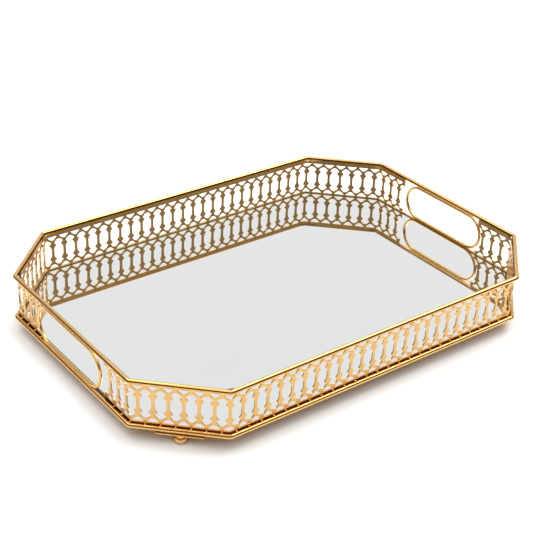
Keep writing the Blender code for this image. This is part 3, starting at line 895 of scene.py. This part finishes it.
class TRAY_OT_hoops(TrayOperator):
    """Bend the top rim and the base rail"""

    bl_idname = "tray.hoops"
    bl_label = "Rim and rail"

    def build(self, tray):
        tree = wire_tree()
        for name, node, material in (("rim_wire", "top_rim", "rim"), ("rail_wire", "base_rail", "rail")):
            low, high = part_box(node)
            radius = (high.z - low.z) / 2
            ring = rounded_ring(plan(high.x - radius * FLAT - PLANE_X), tray.wires.bend, 10)
            lift = Vector((0.0, 0.0, (low.z + high.z) / 2))
            path = poly_curve(name + "_path", [p + lift for p in ring], True)
            values = {"Radius": radius, "Sides": tray.wires.sides}
            grow(name, path, tree, values, finish(material), [node])


class TRAY_OT_handles(TrayOperator):
    """Bend the two handle loops"""

    bl_idname = "tray.handles"
    bl_label = "Handle loops"

    def build(self, tray):
        tree = wire_tree()
        for node in ("handle_left", "handle_right"):
            low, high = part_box(node)
            centre = (low + high) / 2
            wire = (high.x - low.x) / 2
            radius = (high.z - low.z) / 2 - wire * FLAT
            straight = (high.y - low.y) / 2 - wire * FLAT - radius
            points = []
            for side, first in ((1, -90), (-1, 90)):
                for y, z in arc((side * straight, 0.0), radius, first, first + 180, tray.wires.arc):
                    points.append(centre + Vector((0.0, y, z)))
            path = poly_curve(node + "_path", points, True)
            values = {"Radius": wire, "Sides": tray.wires.sides}
            grow(node + "_loop", path, tree, values, finish("wire"), [node])


class TRAY_OT_solder(TrayOperator):
    """Set the solder beads along the rail and the seams at the handles"""

    bl_idname = "tray.solder"
    bl_label = "Solder"

    def build(self, tray):
        self.beads(tray)
        self.seams(tray)

    def beads(self, tray):
        """A bead in the groove above the rail at each place where the wavy band meets the lower border."""
        pitch = tray.gallery.pitch
        rail_low, rail_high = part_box("base_rail")
        wire = (rail_high.z - rail_low.z) / 2
        height = (rail_low.z + rail_high.z) / 2 + 0.62 * wire
        depth = SHEET / 2 + 0.35 * MM
        places = []
        for turned in (0.0, math.pi):
            spin = Matrix.Rotation(turned, 3, "Z")
            k = -math.floor(SHORT_ARM_END / pitch - 0.5)
            while (k + 0.5) * pitch < LONG_ARM_END:
                spot, outwards = self.on_strip((k + 0.5) * pitch)
                places.append(spin @ (spot + outwards * depth + Vector((0.0, 0.0, height))))
                k += 1
        turns = [GOLDEN_TURN * i for i in range(len(places))]
        sizes = [0.85 + 0.3 * ((GOLDEN_SHARE * i) % 1.0) for i in range(len(places))]
        bm = bmesh.new()
        bmesh.ops.create_icosphere(bm, subdivisions=2, radius=tray.wires.bead)
        bmesh.ops.scale(bm, verts=bm.verts, vec=(1.0, 0.8, 0.7))
        bead = mesh_object("bead", bm, [], 60)
        cloud = point_cloud("bead_places", places, turns, sizes)
        grow("solder_beads", cloud, copies_tree(), {"Part": bead}, finish("solder"), [], (bead,))

    @staticmethod
    def on_strip(along):
        """Place and outward direction on the front strip's plan, at a distance along it."""
        corners = plan(0.0)
        starts = (-CORNER_SIDE, 0.0, LONG_SIDE, LONG_SIDE + CORNER_SIDE)
        passed = max(1, sum(along >= start for start in starts))
        here, there = corners[(4 + passed) % 8], corners[(5 + passed) % 8]
        run = (there - here).normalized()
        if along < starts[0]:
            run = Vector((0.0, -1.0, 0.0))
        return here + run * (along - starts[passed - 1]), Vector((run.y, -run.x, 0.0))

    def seams(self, tray):
        """A thin uneven seam between each handle and the wire above and below it."""
        tree = wire_tree()
        steps = 60
        for side in ("left", "right"):
            low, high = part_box("handle_" + side)
            centre = (low + high) / 2
            half = (high.y - low.y) / 2 - (high.z - low.z) / 2
            for end, z in (("top", high.z), ("bottom", low.z)):
                points = []
                for i in range(steps + 1):
                    y = half * (2 * i / steps - 1)
                    shake = 0.10 * MM * math.sin(1.9 * i) + 0.07 * MM * math.sin(0.7 * i + 1.3)
                    points.append(Vector((centre.x + shake, y, z + 0.4 * shake)))
                path = poly_curve("seam_path", points, False)
                values = {"Radius": tray.wires.seam, "Sides": 12}
                grow(f"handle_seam_{side}_{end}", path, tree, values, finish("solder"), [])


class TRAY_OT_floor_plates(TrayOperator):
    """Cut the mirror and finish the board, the pan and the felt"""

    bl_idname = "tray.floor_plates"
    bl_label = "Mirror and base"

    def build(self, tray):
        self.mirror()
        for node, name in (("backing_board", "board"), ("base_pan", "pan"), ("felt_underside", "felt")):
            paint(node, finish(name))

    def mirror(self):
        """Glass with small ground corners and a rounded arris above and below."""
        low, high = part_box("mirror_glass")
        out = high.x - PLANE_X
        arris = 0.4 * MM
        corner = 1.5 * MM
        levels = []
        for turn in range(0, 91, 30):
            a = math.radians(turn)
            levels.append((out - arris + arris * math.sin(a), low.z + arris - arris * math.cos(a)))
        levels += [(r, low.z + high.z - z) for r, z in reversed(levels)]
        bm = bmesh.new()
        rings = []
        for reach, z in levels:
            ring = rounded_ring(plan(reach), corner + reach - out + arris, 4)
            rings.append([bm.verts.new((p.x, p.y, z)) for p in ring])
        count = len(rings[0])
        for ring, following in zip(rings, rings[1:]):
            for i in range(count):
                j = (i + 1) % count
                face = bm.faces.new([ring[i], ring[j], following[j], following[i]])
                face.material_index = 1
        bm.faces.new(rings[-1])
        bm.faces.new(list(reversed(rings[0])))
        mirror = mesh_object("mirror", bm, [finish("mirror"), finish("edge")], 50)
        for face in mirror.data.polygons:
            if len(face.vertices) > 4:
                for i in face.loop_indices:
                    mirror.data.edges[mirror.data.loops[i].edge_index].use_edge_sharp = True
        settle(mirror, ["mirror_glass"])


class TRAY_OT_feet(TrayOperator):
    """Turn the feet and cut their plates, rivets and pads"""

    bl_idname = "tray.feet"
    bl_label = "Feet"

    def build(self, tray):
        sides = tray.feet.sides
        self.repeat("foot_balls", "foot_ball_", lathe(self.ball(tray.feet), sides), "cast", "gold_cast")
        self.repeat("foot_collars", "foot_collar_", lathe(self.collar(tray.feet), sides), "cast", "gold_cast")
        self.repeat("foot_pads", "foot_pad_", lathe(self.pad(), sides), "rubber", "rubber")
        self.plates(tray.feet)
        self.rivets(sides)
        for corner in CORNERS:
            paint("foot_screw_" + corner, finish("zinc"))

    def repeat(self, name, prefix, bm, material, slot):
        """Copy a part to its four corners."""
        nodes = [prefix + corner for corner in CORNERS]
        places = [(middle(node).x, middle(node).y, 0.0) for node in nodes]
        part = mesh_object(name + "_part", bm, [])
        cloud = point_cloud(name + "_places", places)
        grow(name, cloud, copies_tree(), {"Part": part}, finish(material), nodes, (part,))

    def ball(self, sizes):
        """A ball cut flat above and below, with a softened rim and a shallow well for its pad."""
        low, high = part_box("foot_ball_front_left")
        pad_low, pad_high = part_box("foot_pad_front_left")
        wide = 5.2 * MM
        rise = 2.5 * MM
        heart = high.z - rise
        drop = heart - low.z
        rim = sizes.rim
        well = (pad_high.x - pad_low.x) / 2 + CLEARANCE
        top_angle = math.degrees(math.asin(rise / wide)) - 2.0
        bottom_angle = math.degrees(math.asin(drop / wide)) - 1.5
        top_ring = math.sqrt(wide ** 2 - rise ** 2)
        bottom_ring = math.sqrt(wide ** 2 - drop ** 2)
        chamfer = 0.15 * MM
        profile = [(0.0, pad_high.z), (well, pad_high.z), (well, low.z + chamfer), (well + chamfer, low.z)]
        profile += [(bottom_ring - rim, low.z)]
        profile += arc((0.0, heart), wide, -bottom_angle, top_angle, 22)
        profile += [(top_ring - 0.6 * rim, high.z - 0.03 * MM), (top_ring - 1.6 * rim, high.z), (0.0, high.z)]
        return profile

    def collar(self, sizes):
        """The short neck between ball and plate, drawn in a little at its waist."""
        low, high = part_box("foot_collar_front_left")
        wide = (high.x - low.x) / 2
        edge = 0.18 * MM
        low_z = low.z - CLEARANCE
        high_z = high.z + CLEARANCE
        profile = [(0.0, low_z), (wide - edge, low_z), (wide, low_z + edge)]
        for i in range(1, 8):
            t = i / 8
            z = low_z + edge + (high_z - low_z - 2 * edge) * t
            profile.append((wide - sizes.waist * math.sin(math.pi * t), z))
        return profile + [(wide, high_z - edge), (wide - edge, high_z), (0.0, high_z)]

    def pad(self):
        """A rubber button with a rounded lower edge and a dished sole."""
        low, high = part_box("foot_pad_front_left")
        wide = (high.x - low.x) / 2
        edge = 0.35 * MM
        profile = [(0.0, 0.12 * MM), (wide * 0.5, 0.10 * MM), (wide * 0.72, 0.0)]
        profile += arc((wide - edge, low.z + edge), edge, -90, 0, 6)
        return profile + [(wide, high.z - 0.05 * MM), (0.0, high.z - 0.05 * MM)]

    def plates(self, sizes):
        """The plate under each cut corner, with rounded inner corners and softened edges."""
        corner = sizes.plate_corner
        past_rail = 0.8 * MM
        rail_low, rail_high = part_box("base_rail")
        rail_middle = rail_high.x - (rail_high.z - rail_low.z) / 2 * FLAT
        out = rail_middle - PLANE_X + past_rail
        low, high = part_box("foot_plate_front_left")
        half = sizes.plate_length / 2
        inner = out - sizes.plate_depth
        outline = [Vector((half, out, 0.0)), Vector((-half, out, 0.0))]
        for side, first in ((-1, 180), (1, 270)):
            centre = (side * (half - corner), inner + corner)
            outline += [Vector((x, y, 0.0)) for x, y in arc(centre, corner, first, first + 90, 8)]
        bm = bmesh.new()
        face = bm.faces.new([bm.verts.new(p) for p in outline])
        grown = bmesh.ops.extrude_face_region(bm, geom=[face])
        top = [v for v in grown["geom"] if isinstance(v, bmesh.types.BMVert)]
        bmesh.ops.translate(bm, verts=top, vec=(0.0, 0.0, high.z - low.z))
        bmesh.ops.translate(bm, verts=bm.verts, vec=(0.0, 0.0, low.z))
        bmesh.ops.recalc_face_normals(bm, faces=bm.faces)
        rims = [e for e in bm.edges if abs(e.verts[0].co.z - e.verts[1].co.z) < WELD]
        bmesh.ops.bevel(bm, geom=rims, offset=0.18 * MM, segments=2, affect="EDGES", profile=0.5)
        part = mesh_object("foot_plate_part", bm, [])
        corners = plan(0.0)
        places, turns, nodes = [], [], []
        for start, name in ((1, "rear_right"), (3, "rear_left"), (5, "front_left"), (7, "front_right")):
            run = corners[(start + 1) % 8] - corners[start]
            places.append((corners[start] + corners[(start + 1) % 8]) / 2)
            turns.append(math.atan2(-run.x, run.y) - math.pi / 2)
            nodes.append("foot_plate_" + name)
        cloud = point_cloud("foot_plate_places", places, turns)
        values = {"Part": part}
        grow("foot_plates", cloud, copies_tree(), values, finish("cast"), nodes, (part,))

    def rivets(self, sides):
        """Domed heads below the plates, closed tails above the pan."""
        nodes = ["rivet_" + corner + side for corner in CORNERS for side in ("_left", "_right")]
        low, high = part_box(nodes[0])
        plate_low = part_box("foot_plate_front_left")[0].z
        pan_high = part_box("base_pan")[1].z
        head = 2.5 * MM
        shank = 1.2 * MM
        rise = plate_low - low.z
        dome = (head ** 2 + rise ** 2) / (2 * rise)
        spread = math.degrees(math.asin(head / dome))
        profile = arc((0.0, low.z + dome), dome, -90, -90 + spread, 9)
        profile += [(head, plate_low), (shank, plate_low), (shank, pan_high)]
        profile += [(head * 0.9, pan_high), (head * 0.8, high.z - 0.2 * MM), (0.0, high.z)]
        part = mesh_object("rivet_part", lathe(profile, sides // 2), [], 40)
        cloud = point_cloud("rivet_places", [(middle(n).x, middle(n).y, 0.0) for n in nodes])
        grow("foot_rivets", cloud, copies_tree(), {"Part": part}, finish("cast"), nodes, (part,))


class TRAY_OT_stage(TrayOperator):
    """Set the floor, the light and the camera"""

    bl_idname = "tray.stage"
    bl_label = "Studio"

    def build(self, tray):
        self.floor()
        self.sky(tray.stage)
        self.key(tray.stage)
        self.camera(tray.stage)
        bpy.context.scene.view_settings.view_transform = "Standard"

    def floor(self):
        """A wide paper floor under the feet."""
        bm = bmesh.new()
        bmesh.ops.create_grid(bm, x_segments=4, y_segments=4, size=6.0)
        floor = mesh_object("studio_floor", bm, [finish("floor")])

    def sky(self, stage):
        """White walls on the far side, a dim studio behind the camera and a bright ceiling."""
        world = bpy.data.worlds.new("studio")
        world.use_nodes = True
        bpy.context.scene.world = world
        tree = Shading(world.node_tree)
        x, y, z = tree.split(tree.node("ShaderNodeTexCoord", output="Generated"))
        far = x * math.sin(stage.azimuth) + y * math.cos(stage.azimuth)
        stops = [(0.0, 0.16), (0.36, 0.32), (0.64, 0.36), (0.84, 0.88), (1.0, 0.94)]
        wall = tree.ramp(far * 0.5 + 0.5, stops)
        ceiling = tree.ramp(z - far * 0.12, [(0.0, 0.0), (0.56, 0.0), (0.78, 1.0), (1.0, 1.0)])
        bright = (1.6, 1.6, 1.6, 1.0)
        whole = tree.blend(ceiling, wall, bright)
        background = world.node_tree.nodes["Background"]
        world.node_tree.links.new(whole.socket, background.inputs["Color"])
        background.inputs["Strength"].default_value = stage.sky

    def key(self, stage):
        """A soft box high on the right and a wide dimmer one above the front."""
        for name, place, width, share in (("soft_box_right", (0.85, -0.1, 1.25), 0.8, 1.0),
                                          ("soft_box_front", (-0.45, 0.55, 1.35), 1.0, 0.45)):
            data = bpy.data.lights.new(name, "AREA")
            data.shape = "SQUARE"
            data.size = width
            data.energy = stage.key * share
            light = link(bpy.data.objects.new(name, data))
            light.location = place
            light.rotation_mode = "QUATERNION"
            light.rotation_quaternion = (-light.location).to_track_quat("-Z", "Y")

    def camera(self, stage):
        """The camera, set by heading, height, roll and distance."""
        heading, height = stage.azimuth, stage.elevation
        looking = Vector((math.sin(heading) * math.cos(height), math.cos(heading) * math.cos(height),
                          -math.sin(height)))
        level = Vector((math.cos(heading), -math.sin(heading), 0.0))
        up = level.cross(looking)
        across = level * math.cos(stage.roll) + up * math.sin(stage.roll)
        upright = up * math.cos(stage.roll) - level * math.sin(stage.roll)
        data = bpy.data.cameras.new("camera")
        data.lens = stage.lens
        data.sensor_width = SENSOR_WIDTH
        data.clip_start = 0.01
        data.clip_end = 50.0
        camera = link(bpy.data.objects.new("camera", data))
        camera.rotation_mode = "QUATERNION"
        camera.rotation_quaternion = Matrix((across, upright, -looking)).transposed().to_quaternion()
        camera.location = Vector(stage.aim) - looking * stage.distance
        bpy.context.scene.camera = camera


def paint(node, material):
    """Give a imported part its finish."""
    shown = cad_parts[node]
    for slot in shown.material_slots:
        slot.material = material


# ---- panel and registration

class TRAY_PT_panel(bpy.types.Panel):
    """Lists the tray's operators and settings."""

    bl_idname = "TRAY_PT_panel"
    bl_label = "Vanity tray"
    bl_space_type = "VIEW_3D"
    bl_region_type = "UI"
    bl_category = "Tray"

    def draw(self, context):
        tray = context.scene.tray
        for operator in OPERATORS:
            self.layout.operator(operator.bl_idname)
        for group in (tray.gallery, tray.wires, tray.feet, tray.colours, tray.stage):
            box = self.layout.box()
            for name in group.bl_rna.properties.keys():
                if name not in {"rna_type", "name"}:
                    box.prop(group, name)


OPERATORS = (TRAY_OT_stage, TRAY_OT_gallery, TRAY_OT_hoops, TRAY_OT_handles, TRAY_OT_solder,
             TRAY_OT_floor_plates, TRAY_OT_feet)
GROUPS = (GallerySizes, WireSizes, FootSizes, FinishColours, StageSettings, TraySettings)
CLASSES = (*GROUPS, *OPERATORS, TRAY_PT_panel)


def register():
    for cls in CLASSES:
        bpy.utils.register_class(cls)
    bpy.types.Scene.tray = PointerProperty(type=TraySettings)


def unregister():
    del bpy.types.Scene.tray
    for cls in reversed(CLASSES):
        bpy.utils.unregister_class(cls)


def main():
    """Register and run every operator."""
    register()
    for operator in OPERATORS:
        family, name = operator.bl_idname.split(".")
        getattr(getattr(bpy.ops, family), name)()


if __name__ == "__main__":
    main()
